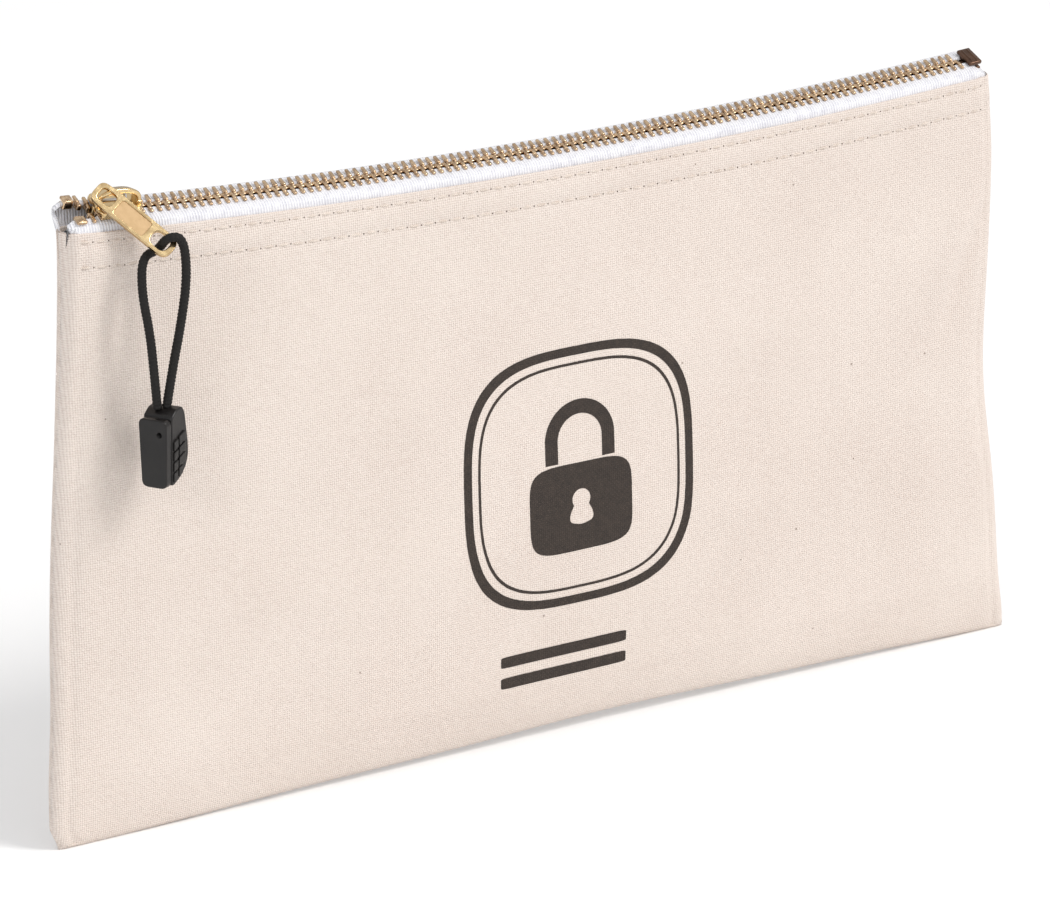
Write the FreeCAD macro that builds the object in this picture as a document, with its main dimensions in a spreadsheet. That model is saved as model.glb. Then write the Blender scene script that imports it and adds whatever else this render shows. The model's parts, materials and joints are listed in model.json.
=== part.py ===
import FreeCAD, Part
import math
import os
import Sketcher

# A flat zipped canvas bag for carrying cash to the bank, standing on its bottom seam.
# Frame: +X along the bag from the slider's closed end to the box stop, +Z up, the printed
# front panel faces -Y, and the origin is the middle of the bottom seam's flat underside.
# The zip hangs between the bag's top corners in a shallow arc, so its tapes, teeth, hems and
# hem stitches are all turned about one far axis along Y, and the slider runs along that arc.

Vector = FreeCAD.Vector
doc = FreeCAD.newDocument("cash_deposit_bag")
sheet = doc.addObject("Spreadsheet::Sheet", "Sizes")

SIZES = {
    "bag_length": 317.5, "bag_height": 178.0, "top_inset": 7.0, "canvas_thick": 0.9,
    "seam_half": 1.2, "seam_wide": 8.0, "hem_drop": 4.6,
    "zip_chord": 300.0, "zip_sag": 5.0, "zip_mid_height": 171.6,
    "zip_left": -141.5, "zip_right": 144.0,
    "tape_thick": 0.5, "tape_inner": 2.2, "tape_outer": 5.5, "tape_drop": 12.4,
    "tape_bend": 0.5, "tape_end": 147.0,
    "tooth_pitch": 2.54, "tooth_thick": 1.15, "tooth_tall": 2.4, "tooth_inner": 0.6, "tooth_outer": 2.8,
    "stop_long": 2.6, "box_stop_long": 4.2, "box_stop_wide": 7.0, "box_stop_tall": 3.4,
    "slider_place": -132.0, "slider_long": 13.5, "slider_wide": 9.6, "slider_narrow": 7.6,
    "plate_inner": 1.5, "plate_thick": 1.1, "flange_thick": 0.8, "flange_gap": 1.2,
    "post_long": 2.6, "post_half": 0.35, "row_parting": 1.1, "end_parting": 1.7,
    "crown_left": -6.6, "crown_right": 6.6, "crown_peak": -0.8, "crown_tall": 4.3,
    "crown_thick": 1.1, "crown_wide": 3.0,
    "spring_thick": 0.4, "spring_wide": 1.4,
    "tab_long": 25.6, "tab_wide": 6.8, "tab_thick": 1.5, "tab_recess": 0.3, "tab_rim": 1.1,
    "ring_long": 5.4, "hole_long": 5.3, "hole_wide": 4.3, "tab_foot": 1.7, "tab_nose": 2.2,
    "cord_thick": 2.5,
    "grip_long": 20.0, "grip_wide": 10.4, "grip_deep": 5.8, "grip_foot": 5.0, "grip_bevel": 2.0,
    "grip_cap_thick": 2.4, "grip_cavity": 5.4, "grip_joint_gap": 0.1,
    "knot_size": 4.2, "rivet_hole": 1.6,
    "stitch_long": 3.5, "stitch_pitch": 4.5, "stitch_thick": 0.55,
    "hem_row_high": 2.0, "hem_row_low": 8.9,
}
for row, (alias, value) in enumerate(SIZES.items(), start=1):
    sheet.set(f"A{row}", alias)
    sheet.set(f"B{row}", str(value))
    sheet.setAlias(f"B{row}", alias)
doc.recompute()


class Size:
    """A length in millimetres together with the spreadsheet expression that gives it."""

    def __init__(self, value, text):
        self.value = float(value)
        self.text = text

    def _joined(self, other, sign, value, swap=False):
        first, second = (other, self) if swap else (self, other)
        return Size(value, f"({first.text} {sign} {second.text})")

    def __add__(self, other):
        other = size(other)
        return self._joined(other, "+", self.value + other.value)

    def __sub__(self, other):
        other = size(other)
        return self._joined(other, "-", self.value - other.value)

    def __rsub__(self, other):
        other = size(other)
        return self._joined(other, "-", other.value - self.value, swap=True)

    def __mul__(self, other):
        other = size(other)
        return self._joined(other, "*", self.value * other.value)

    def __truediv__(self, other):
        other = size(other)
        return self._joined(other, "/", self.value / other.value)

    def __neg__(self):
        return Size(-self.value, f"(0 - {self.text})")

    __radd__ = __add__
    __rmul__ = __mul__


def size(number):
    return number if isinstance(number, Size) else Size(number, repr(float(number)))


def cell(alias):
    return Size(getattr(sheet, alias), f"Sizes.{alias}")


def number(alias):
    return float(getattr(sheet, alias))


# ---------------------------------------------------------------- the zip's arc
HALF_CHORD = cell("zip_chord") / 2
ARC_RADIUS = (HALF_CHORD * HALF_CHORD + cell("zip_sag") * cell("zip_sag")) / (2 * cell("zip_sag"))
ARC_TOP = cell("zip_mid_height") + ARC_RADIUS
ARC_CENTRE = Vector(0, 0, ARC_TOP.value)


def arc_turn(x):
    """The turn about the far axis, in degrees, that carries the zip's middle to a place x."""
    return -math.degrees(math.asin(x / ARC_RADIUS.value))


def on_arc(x, drop=0.0):
    """Height of the zip's arc at x, for a line that lies `drop` below the chain."""
    radius = ARC_RADIUS.value + drop
    return ARC_TOP.value - math.sqrt(radius ** 2 - x ** 2)


def carried(shape, x):
    """A copy of a shape made at the zip's middle, carried along the arc to x."""
    copy = shape.copy()
    copy.rotate(ARC_CENTRE, Vector(0, 1, 0), arc_turn(x))
    return copy


# ---------------------------------------------------------------- helpers
def new_body(name):
    body = doc.addObject("PartDesign::Body", name)
    body.Label = name
    return body


def plane_of(body, role):
    return next(item for item in body.Origin.OriginFeatures if item.Role == role)


def sketch(body, name, role, outlines, offset=None):
    """A sketch on an origin plane. An outline is a list of points (across, up) or
    (across, up, radius, bulge): with a radius, the edge to the next point is an arc that
    bulges to the left (+1) or right (-1) of the way along."""
    item = body.newObject("Sketcher::SketchObject", name)
    item.AttachmentSupport = [(plane_of(body, role), "")]
    item.MapMode = "FlatFace"
    if offset is not None:
        item.setExpression("AttachmentOffset.Base.z", size(offset).text)
    for outline in outlines:
        ends = []
        corners = [(size(point[0]), size(point[1])) for point in outline]
        for place, point in enumerate(outline):
            start = Vector(corners[place][0].value, corners[place][1].value)
            after = corners[(place + 1) % len(corners)]
            end = Vector(after[0].value, after[1].value)
            if len(point) == 2:
                edge = item.addGeometry(Part.LineSegment(start, end), False)
                ends.append((edge, 1, 2))
                continue
            radius = size(point[2])
            half = (end - start) / 2
            rise = radius.value - math.sqrt(max(radius.value ** 2 - half.Length ** 2, 0))
            side = Vector(-half.y, half.x).normalize() * point[3]
            arc = Part.Arc(start, start + half + side * rise, end)
            edge = item.addGeometry(arc, False)
            first = 1 if (item.Geometry[edge].StartPoint - start).Length < 1e-6 else 2
            ends.append((edge, first, 3 - first))
            bind(item, Sketcher.Constraint("Radius", edge, radius.value), radius)
        for place, (edge, first, last) in enumerate(ends):
            following = ends[(place + 1) % len(ends)]
            item.addConstraint(Sketcher.Constraint("Coincident", edge, last, following[0], following[1]))
            across, up = corners[place]
            bind(item, Sketcher.Constraint("DistanceX", -1, 1, edge, first, across.value), across)
            bind(item, Sketcher.Constraint("DistanceY", -1, 1, edge, first, up.value), up)
    return item


def bind(item, constraint, length):
    place = item.addConstraint(constraint)
    item.setExpression(f"Constraints[{place}]", length.text)


def circle_sketch(body, name, role, across, up, radius, offset=None):
    item = body.newObject("Sketcher::SketchObject", name)
    item.AttachmentSupport = [(plane_of(body, role), "")]
    item.MapMode = "FlatFace"
    if offset is not None:
        item.setExpression("AttachmentOffset.Base.z", size(offset).text)
    across, up, radius = size(across), size(up), size(radius)
    circle = Part.Circle(Vector(across.value, up.value), Vector(0, 0, 1), radius.value)
    edge = item.addGeometry(circle, False)
    bind(item, Sketcher.Constraint("DistanceX", -1, 1, edge, 3, across.value), across)
    bind(item, Sketcher.Constraint("DistanceY", -1, 1, edge, 3, up.value), up)
    bind(item, Sketcher.Constraint("Radius", edge, radius.value), radius)
    return item


def pad(body, name, profile, length, both=False, back=False):
    item = body.newObject("PartDesign::Pad", name)
    item.Profile = profile
    item.setExpression("Length", size(length).text)
    item.Midplane = both
    item.Reversed = back
    doc.recompute()
    return item


def pocket(body, name, profile, length, both=False, back=False):
    before = body.Shape.Volume
    item = body.newObject("PartDesign::Pocket", name)
    item.Profile = profile
    item.setExpression("Length", size(length).text)
    item.Midplane = both
    item.Reversed = back
    doc.recompute()
    if not body.Shape.Volume < before - 1e-6:
        raise RuntimeError(f"{name} cuts nothing from {body.Label}")
    return item


def revolved(body, name, profile, reach):
    """A profile in the YZ plane turned about the far axis, over x from -reach to +reach."""
    axis = body.newObject("PartDesign::Line", name + "_axis")
    axis.Placement = FreeCAD.Placement(ARC_CENTRE, FreeCAD.Rotation(Vector(0, 0, 1), Vector(0, 1, 0)))
    item = body.newObject("PartDesign::Revolution", name)
    item.Profile = profile
    item.ReferenceAxis = (axis, [""])
    item.setExpression("Angle", f"2 * asin({size(reach).text} / {ARC_RADIUS.text})")
    item.Midplane = True
    doc.recompute()
    return item


def feature(name, shape, placement=None):
    item = doc.addObject("Part::Feature", name)
    item.Label = name
    item.Shape = shape
    if placement is not None:
        item.Placement = placement
    return item


def box(low, high):
    span = [high[axis] - low[axis] for axis in range(3)]
    return Part.makeBox(*span, Vector(*low))


def framed(origin, along, normal):
    """A placement whose local X runs along one way and whose local Z is nearest a normal."""
    return FreeCAD.Placement(origin, FreeCAD.Rotation(along, Vector(0, 0, 0), normal, "XZY"))


# ---------------------------------------------------------------- canvas panels
# Each level of a panel: height, run of the turned corner, depth at the corner and at the middle.
PANEL_LEVELS = (
    (0.0, 2.0, 2.2, 2.4),
    (18.0, 8.0, 4.2, 6.2),
    (60.0, 14.0, 5.2, 9.5),
    (110.0, 12.0, 5.6, 9.2),
    (150.0, 4.6, 6.5, 7.5),
    (181.0, 3.0, 6.6, 6.8),
)


def half_length(height):
    """Half the bag's length at a height: the sides lean in towards the zip."""
    return cell("bag_length") / 2 - cell("top_inset") * height / cell("bag_height")


def bellied(half, corner, middle, side):
    """Points along a panel's belly, from one turned corner to the other, on a parabola."""
    fractions = (-1.0, -0.6, -0.2, 0.2, 0.6, 1.0)
    rise = middle - corner
    return [(half * place, side * (corner + rise * (1 - place * place))) for place in fractions]


def canvas_panel(name, side):
    """One cloth panel: a thin shell that bellies out between the side seams. side is -1 or 1."""
    body = new_body(name)
    levels = []
    cloth = cell("canvas_thick")
    edge = cell("seam_half")
    for place, (height, run, corner, middle) in enumerate(PANEL_LEVELS):
        half = half_length(height)
        outer = bellied(half - run, size(corner), size(middle), side)
        inner = bellied(half - run - 0.4, corner - cloth, middle - cloth, side)
        outline = [(-half, side * edge)] + outer + [(half, side * edge), (half - 1.2, side * edge)]
        outline += list(reversed(inner)) + [(-half + 1.2, side * edge)]
        levels.append(sketch(body, f"{name}_level_{place}", "XY_Plane", [outline], offset=height))
    loft = body.newObject("PartDesign::AdditiveLoft", name + "_cloth")
    loft.Profile = levels[0]
    loft.Sections = levels[1:]
    loft.Ruled = True
    doc.recompute()
    reach, drop = 170.0, cell("hem_drop")
    shoulder, sky = on_arc(reach, drop.value), 200.0
    above = [(-reach, shoulder, ARC_RADIUS + drop, -1), (reach, shoulder), (reach, sky), (-reach, sky)]
    pocket(body, name + "_mouth", sketch(body, name + "_hem_line", "XZ_Plane", [above]), 60, both=True)
    return body


def side_seam(name, side):
    """The two panels' turned-in edges at one side, sewn together inside the bag."""
    body = new_body(name)
    top = cell("zip_mid_height")
    foot, head = half_length(0), half_length(top)
    wide = cell("seam_wide")
    outline = [
        (side * foot, 0), (side * head, top), (side * (head - wide), top), (side * (foot - wide), 0),
    ]
    shape = sketch(body, name + "_shape", "XZ_Plane", [outline])
    pad(body, name + "_cloth", shape, 2 * cell("seam_half"), both=True)
    return body


def bottom_seam():
    body = new_body("bottom_seam")
    reach = cell("bag_length") / 2 - cell("seam_wide") - 0.6
    half = cell("seam_half")
    outline = [(-reach, -half), (reach, -half), (reach, half), (-reach, half)]
    pad(body, "bottom_cloth", sketch(body, "bottom_shape", "XY_Plane", [outline]), cell("seam_wide"))
    return body


# ---------------------------------------------------------------- zip
SLIDER_X = number("slider_place")


def parting(x):
    """How far each row stands out from its closed place: nothing right of the slider's throat."""
    throat = SLIDER_X + 1.0
    mouth = SLIDER_X - 5.0
    if x >= throat:
        return 0.0
    if x >= mouth:
        return number("row_parting") * (throat - x) / (throat - mouth)
    more = number("end_parting") - number("row_parting")
    return number("row_parting") + more * (mouth - x) / (mouth - number("zip_left"))


def zip_tape(name, side):
    """One woven tape: a flat strip beside the teeth that turns down inside the hem."""
    body = new_body(name)
    inner, outer, thick = cell("tape_inner"), cell("tape_outer"), cell("tape_thick")
    level = cell("zip_mid_height")
    foot = level - cell("tape_drop")
    bend = cell("tape_bend")
    outline = [
        (side * inner, level + thick / 2), (side * (outer - bend), level + thick / 2),
        (side * outer, level + thick / 2 - bend), (side * outer, foot), (side * (outer - thick), foot),
        (side * (outer - thick), level - thick / 2), (side * inner, level - thick / 2),
    ]
    profile = sketch(body, name + "_profile", "YZ_Plane", [outline])
    revolved(body, name + "_strip", profile, cell("tape_end"))
    opening = [
        (SLIDER_X + 1.0, side * 1.0), (SLIDER_X + 1.0, side * inner),
        (SLIDER_X - 5.0, side * (inner + cell("row_parting"))),
        (-cell("tape_end") - 2, side * (outer - thick)), (-cell("tape_end") - 2, side * 1.0),
    ]
    parted = sketch(body, name + "_parted", "XY_Plane", [opening], offset=level - 3)
    pocket(body, name + "_opening", parted, 20, back=True)
    return body


def tooth(side):
    """One die-cut tooth at the zip's middle: a body with a head that crosses the centre line
    and two legs that grip the tape's edge. It reaches towards -side."""
    thick, tall = number("tooth_thick"), number("tooth_tall")
    inner, outer = number("tooth_inner"), number("tooth_outer")
    level = number("zip_mid_height")
    half, up = thick / 2, tall / 2
    gap = number("tape_thick") / 2 + 0.05
    slot = number("tape_inner") - 0.1
    head = box((-half, -inner, level - up * 0.62), (half, 0.9, level + up * 0.62))
    block = box((-half, 0.9, level - up), (half, outer, level + up))
    legs = box((-half - 1, slot, level - gap), (half + 1, outer + 1, level + gap))
    solid = head.fuse(block).removeSplitter().cut(legs)
    if side < 0:
        solid = solid.mirror(Vector(0, 0, 0), Vector(0, 1, 0))
    return solid


def teeth_places(shift):
    count = int((number("zip_right") - number("zip_left")) / number("tooth_pitch"))
    return [number("zip_left") + (place + shift) * number("tooth_pitch") for place in range(count)]


def tooth_row(name, side, shift):
    one = tooth(side)
    solids = []
    for x in teeth_places(shift):
        solid = carried(one, x)
        solid.translate(Vector(0, side * parting(x), 0))
        solids.append(solid)
    return feature(name, Part.makeCompound(solids))


def top_stop(name, side):
    """A clip crimped over the tape's edge past the last tooth, with a slot for the tape."""
    length, up = number("stop_long"), number("tooth_tall") / 2 + 0.1
    gap = number("tape_thick") / 2 + 0.05
    level = number("zip_mid_height")
    inner, outer = 0.7, number("tooth_outer") + 0.3
    clip = box((-length / 2, inner, level - up), (length / 2, outer, level + up))
    clip = clip.makeFillet(0.45, [edge for edge in clip.Edges if abs(edge.tangentAt(0).x) > 0.9])
    slot = box((-length, number("tape_inner") - 0.2, level - gap), (length, outer + 1, level + gap))
    clip = clip.cut(slot)
    if side < 0:
        clip = clip.mirror(Vector(0, 0, 0), Vector(0, 1, 0))
    place = number("zip_left") - 2.6
    clip = carried(clip, place)
    clip.translate(Vector(0, side * (number("end_parting") + 0.1), 0))
    return feature(name, clip)


def box_stop():
    """The clip that joins both rows at the far end of the chain."""
    body = new_body("bottom_stop")
    half, up = cell("box_stop_wide") / 2, cell("box_stop_tall") / 2
    gap = cell("tape_thick") / 2 + 0.05
    wall = cell("tape_inner") - 0.2
    outline = [
        (-half, gap), (-half, up), (half, up), (half, gap), (wall, gap),
        (wall, -gap), (half, -gap), (half, -up), (-half, -up), (-half, -gap),
        (-wall, -gap), (-wall, gap),
    ]
    profile = sketch(body, "stop_profile", "YZ_Plane", [outline])
    pad(body, "stop_clip", profile, cell("box_stop_long"), both=True)
    x = number("zip_right") + number("box_stop_long") / 2 + 0.2
    turn = FreeCAD.Rotation(Vector(0, 1, 0), arc_turn(x))
    body.Placement = FreeCAD.Placement(Vector(x, 0, on_arc(x)), turn)
    return body


# ---------------------------------------------------------------- slider
SLIDER_PLACE = FreeCAD.Placement(
    Vector(SLIDER_X, 0, on_arc(SLIDER_X)), FreeCAD.Rotation(Vector(0, 1, 0), arc_turn(SLIDER_X))
)


def plate_outline(inset=0.0):
    """The slider's plan: wide where the rows come apart, narrow where they leave closed."""
    left, right = -cell("slider_long") / 2, cell("slider_long") / 2
    wide, narrow = cell("slider_wide") / 2 - inset, cell("slider_narrow") / 2 - inset
    return [
        (left + 1.2, -wide), (left + 6, -wide), (right - 3, -narrow), (right, -narrow),
        (right, narrow), (right - 3, narrow), (left + 6, wide), (left + 1.2, wide),
        (left, wide - 1.4), (left, -wide + 1.4),
    ]


def slider_body():
    body = new_body("slider_body")
    inner, thick = cell("plate_inner"), cell("plate_thick")
    pad(body, "top_plate", sketch(body, "top_plan", "XY_Plane", [plate_outline()], offset=inner), thick)
    low = sketch(body, "low_plan", "XY_Plane", [plate_outline()], offset=-inner)
    left = -cell("slider_long") / 2
    post = [
        (left, -cell("post_half")), (left + cell("post_long") * 0.6, -cell("post_half")),
        (left + cell("post_long"), 0), (left + cell("post_long") * 0.6, cell("post_half")),
        (left, cell("post_half")),
    ]
    plan = sketch(body, "post_plan", "XY_Plane", [post], offset=-inner - 0.2)
    pad(body, "wedge_post", plan, 2 * inner + 0.4)
    pad(body, "low_plate", low, thick, back=True)
    rails = []
    depth = cell("flange_thick")
    for side in (-1, 1):
        outer = plate_outline()
        if side < 0:
            run = [outer[0], outer[1], outer[2], outer[3]]
        else:
            run = [outer[7], outer[6], outer[5], outer[4]]
        rails.append(run + [(across, up - side * depth) for across, up in reversed(run)])
    gap = cell("flange_gap") / 2
    for place, (start, back) in enumerate(((gap, False), (-gap, True))):
        plan = sketch(body, f"flange_plan_{place}", "XY_Plane", rails, offset=start)
        pad(body, f"flanges_{place}", plan, inner - cell("flange_gap") / 2 + 0.2, back=back)
    body.Placement = SLIDER_PLACE
    return body


def arch(left, right, peak, foot, rise):
    """Points of a bridge arch from its left foot over its peak to its right foot."""
    return Part.Arc(Vector(left, 0, foot), Vector(peak, 0, foot + rise), Vector(right, 0, foot))


def slider_crown():
    """The bridge clipped to the top plate, which the pull tab hooks round."""
    foot = number("plate_inner") + number("plate_thick")
    left, right = number("crown_left"), number("crown_right")
    peak, tall, thick = number("crown_peak"), number("crown_tall"), number("crown_thick")
    outer = arch(left, right, peak, foot, tall)
    inner = arch(left + thick, right - thick, peak, foot, tall - thick)
    edges = [
        outer.toShape(), Part.makeLine(outer.EndPoint, inner.EndPoint),
        inner.toShape(), Part.makeLine(inner.StartPoint, outer.StartPoint),
    ]
    face = Part.Face(Part.Wire(Part.__sortEdges__(edges)))
    wide = number("crown_wide")
    band = face.extrude(Vector(0, wide, 0))
    band.translate(Vector(0, -wide / 2, 0))
    long_edges = [edge for edge in band.Edges if isinstance(edge.Curve, Part.Circle)]
    band = band.makeFillet(0.3, long_edges)
    return feature("slider_crown", band, SLIDER_PLACE)


def lock_spring():
    """The leaf spring under the crown, whose tip drops between two teeth to lock the slider."""
    foot = number("plate_inner") + number("plate_thick")
    wide, thick = number("spring_wide"), number("spring_thick")
    leaf = box((-3.6, -wide / 2, foot + 0.05), (3.4, wide / 2, foot + 0.05 + thick))
    heel = box((3.0, -wide / 2, foot + 0.05), (3.4, wide / 2, foot + 1.4))
    return feature("lock_spring", leaf.fuse(heel).removeSplitter(), SLIDER_PLACE)


# ---------------------------------------------------------------- pull tab, cord and grip
TAB_START = Vector(-138.1, -3.0, 182.3)
TAB_END = Vector(-124.6, -17.0, 166.9)
TAB_NORMAL = Vector(-0.2, -0.9, 0.66)
TAB_ALONG = (TAB_END - TAB_START).normalize()


def pull_tab():
    """A die-cast tab: raised rim, recessed middle, open ring at the head, cord hole at the foot."""
    body = new_body("pull_tab")
    length, half, thick = cell("tab_long"), cell("tab_wide") / 2, cell("tab_thick")
    nose = cell("tab_nose")
    nose_radius = (half * half + nose * nose) / (2 * nose)
    outline = [
        (0, -half + 0.8), (0.8, -half), (length - nose, -half, nose_radius, -1), (length - nose, half),
        (0.8, half), (0, half - 0.8),
    ]
    pad(body, "tab_plate", sketch(body, "tab_shape", "XY_Plane", [outline]), thick, both=True)
    rim = cell("tab_rim")
    start = cell("ring_long") + 1.2
    stop = length - cell("tab_foot") - cell("hole_long") - 1.3
    panel = [(start, -half + rim), (stop, -half + rim), (stop, half - rim), (start, half - rim)]
    for place, (level, back) in enumerate(((thick / 2, False), (-thick / 2, True))):
        plan = sketch(body, f"recess_plan_{place}", "XY_Plane", [panel], offset=level)
        pocket(body, f"recess_{place}", plan, cell("tab_recess"), back=back)
    ring = [(-1, -half + rim + 0.5), (cell("ring_long"), -half + rim + 0.5),
            (cell("ring_long"), half - rim - 0.5), (-1, half - rim - 0.5)]
    pocket(body, "ring_opening", sketch(body, "ring_plan", "XY_Plane", [ring]), thick * 2, both=True)
    far = length - cell("tab_foot")
    near = far - cell("hole_long")
    reach = cell("hole_wide") / 2
    hole = [(near, -reach), (far - 1.2, -reach), (far, -reach + 1.2), (far, reach - 1.2),
            (far - 1.2, reach), (near, reach)]
    pocket(body, "cord_hole", sketch(body, "hole_plan", "XY_Plane", [hole]), thick * 2, both=True)
    body.Placement = framed(TAB_START, TAB_ALONG, TAB_NORMAL)
    return body


# The cord runs up from the grip, behind the tab's foot, through the hole and down again.
CORD_ROUTE = (
    (-130.9, -17.6, 124.6),
    (-131.2, -17.4, 133.3),
    (-131.4, -16.4, 145.2),
    (-132.5, -14.9, 156.1),
    (-130.9, -12.9, 165.2),
    (-126.1, -13.1, 166.3),
    (-125.8, -17.8, 170.7),
    (-121.2, -18.4, 170.2),
    (-120.9, -18.9, 159.5),
    (-123.4, -19.0, 147.2),
    (-126.4, -18.6, 135.1),
    (-128.4, -18.0, 124.6),
)


def cord_path(points):
    """Straight runs joined by tangent arcs, with the radius of each arc."""
    points = [Vector(*point) for point in points]
    edges, radii = [], []
    start = points[0]
    for before, corner, after in zip(points, points[1:], points[2:]):
        into, out = corner - before, after - corner
        turn = into.getAngle(out)
        set_back = 0.45 * min(into.Length, out.Length)
        radii.append(set_back / math.tan(turn / 2))
        first = corner - into.normalize() * set_back
        last = corner + out.normalize() * set_back
        bisector = (last + first) / 2 - corner
        middle = corner + bisector.normalize() * (radii[-1] / math.cos(turn / 2) - radii[-1])
        edges.append(Part.LineSegment(start, first).toShape())
        edges.append(Part.Arc(first, middle, last).toShape())
        start = last
    edges.append(Part.LineSegment(start, points[-1]).toShape())
    return Part.Wire(edges), radii


def pull_cord():
    wire, radii = cord_path(CORD_ROUTE)
    radius = number("cord_thick") / 2
    way = wire.Edges[0].tangentAt(0)
    circle = Part.Wire(Part.makeCircle(radius, wire.Edges[0].valueAt(0), way))
    tube = wire.makePipeShell([circle], True, False)
    expected = math.pi * radius ** 2 * wire.Length
    if abs(tube.Volume / expected - 1) > 0.02:
        raise RuntimeError("the cord's volume is not its section times its length")
    print("cord length", round(wire.Length, 1), "radii", [round(radius, 1) for radius in radii])
    return feature("pull_cord", tube)


GRIP_TOP = Vector(-129.5, -17.8, 124.2)
GRIP_LEAN = Vector(-0.02, 0.0, -1.0)
GRIP_FACE = Vector(-0.87, -0.49, 0.0)
GRIP_PLACE = framed(GRIP_TOP, GRIP_LEAN, GRIP_FACE)


def grip_outline():
    """The grip seen on its wide side: bevelled shoulders, and sides that taper to the foot."""
    length, half, foot = cell("grip_long"), cell("grip_deep") / 2 + 1.6, cell("grip_foot") / 2
    bevel = cell("grip_bevel")
    return [
        (0, -half + bevel + 0.6), (bevel, -half), (length * 0.62, -half + 0.4), (length - bevel, -foot - 1.0),
        (length, -foot + 1.0), (length, foot - 1.0), (length - bevel, foot + 1.0),
        (length * 0.62, half - 0.4), (bevel, half), (0, half - bevel - 0.6),
    ]


def grip_body():
    """The larger moulded half, with the cavity that holds the cord's knot."""
    body = new_body("grip_body")
    wide, cap, gap = cell("grip_wide"), cell("grip_cap_thick"), cell("grip_joint_gap")
    base = -wide / 2
    shape = sketch(body, "grip_shape", "XY_Plane", [grip_outline()], offset=base)
    pad(body, "grip_block", shape, wide - cap - gap)
    half = cell("grip_cavity") / 2
    cavity = [(4.4, -half), (4.4 + cell("grip_cavity"), -half), (4.4 + cell("grip_cavity"), half), (4.4, half)]
    top = wide / 2 - cap - gap
    pocket(body, "knot_cavity", sketch(body, "cavity_plan", "XY_Plane", [cavity], offset=top), wide - cap - 1.6)
    throat = [(-1, -2.9), (5, -2.9), (5, 2.9), (-1, 2.9)]
    pocket(body, "cord_throat", sketch(body, "throat_plan", "XY_Plane", [throat], offset=top), 4.6)
    body.Placement = GRIP_PLACE
    return body


def grip_cap():
    """The snap-in cover with its round moulding hole."""
    body = new_body("grip_cap")
    wide, cap = cell("grip_wide"), cell("grip_cap_thick")
    shape = sketch(body, "cap_shape", "XY_Plane", [grip_outline()], offset=wide / 2 - cap)
    pad(body, "cap_block", shape, cap)
    hole = circle_sketch(body, "cap_hole_plan", "XY_Plane", 6.2, 1.6, cell("rivet_hole") / 2, offset=wide / 2)
    pocket(body, "cap_hole", hole, cap * 0.6)
    body.Placement = GRIP_PLACE
    return body


def cord_knot():
    """The cord's two ends melted into one bead, held in the grip's cavity."""
    radius = number("knot_size") / 2
    bead = Part.makeSphere(radius, Vector(7.1, 0, -1.0))
    return feature("cord_knot", bead, GRIP_PLACE)


# ---------------------------------------------------------------- stitches
def thread(start, end):
    way = end - start
    return Part.makeCylinder(number("stitch_thick") / 2, way.Length, start, way)


def outer_skin(panel, x, z, side):
    """The y of a panel's outer face at x and z."""
    probe = Part.makeLine(Vector(x, side * 30, z), Vector(x, 0, z)).common(panel.Shape)
    return max(vertex.Y * side for vertex in probe.Vertexes) * side


def hem_row(name, panel, side, drop):
    """A row of lockstitches along the hem, lying on the canvas."""
    reach = half_length(number("zip_mid_height")).value - 4.2
    count = int(2 * reach / number("stitch_pitch"))
    half = number("stitch_long") / 2
    down = number("hem_drop") + drop
    stitches = []
    for place in range(count):
        x = (place - (count - 1) / 2) * number("stitch_pitch")
        ends = []
        for end in (x - half, x + half):
            z = on_arc(end, down)
            ends.append(Vector(end, outer_skin(panel, end, z, side), z))
        stitches.append(thread(*ends))
    return feature(name, Part.makeCompound(stitches))


def seam_row(name, start, end):
    """A row of lockstitches along a straight seam, inside the bag."""
    way = (end - start).normalize()
    length = (end - start).Length
    count = int(length / number("stitch_pitch"))
    stitches = []
    for place in range(count):
        foot = start + way * (place * number("stitch_pitch"))
        stitches.append(thread(foot, foot + way * number("stitch_long")))
    return feature(name, Part.makeCompound(stitches))


def side_stitches(name, side):
    inset, face = 2.6, -number("seam_half")
    foot = Vector(side * (half_length(4).value - inset), face, 4)
    head = Vector(side * (half_length(164).value - inset), face, 164)
    return seam_row(name, foot, head)


# ---------------------------------------------------------------- assembly
front_panel = canvas_panel("front_panel", -1)
rear_panel = canvas_panel("rear_panel", 1)
seams = [side_seam("left_side_seam", -1), side_seam("right_side_seam", 1), bottom_seam()]
tapes = [zip_tape("front_zip_tape", -1), zip_tape("rear_zip_tape", 1)]
rows = [tooth_row("front_teeth", -1, 0.5), tooth_row("rear_teeth", 1, 0.0)]
stops = [top_stop("front_top_stop", -1), top_stop("rear_top_stop", 1), box_stop()]
slider = [slider_body(), slider_crown(), lock_spring()]
pull = [pull_tab(), pull_cord(), grip_body(), grip_cap(), cord_knot()]
HIGH, LOW = number("hem_row_high"), number("hem_row_low")
stitching = [
    hem_row("front_hem_stitch_upper", front_panel, -1, HIGH),
    hem_row("front_hem_stitch_lower", front_panel, -1, LOW),
    hem_row("rear_hem_stitch_upper", rear_panel, 1, HIGH),
    hem_row("rear_hem_stitch_lower", rear_panel, 1, LOW),
    side_stitches("left_side_stitch", -1),
    side_stitches("right_side_stitch", 1),
    seam_row("bottom_stitch", Vector(-145, -number("seam_half"), 3), Vector(147, -number("seam_half"), 3)),
]
doc.recompute()

for item in doc.Objects:
    if "Invalid" in item.State or "Error" in item.State:
        raise RuntimeError(f"{item.Label} failed: {item.State}")

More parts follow.
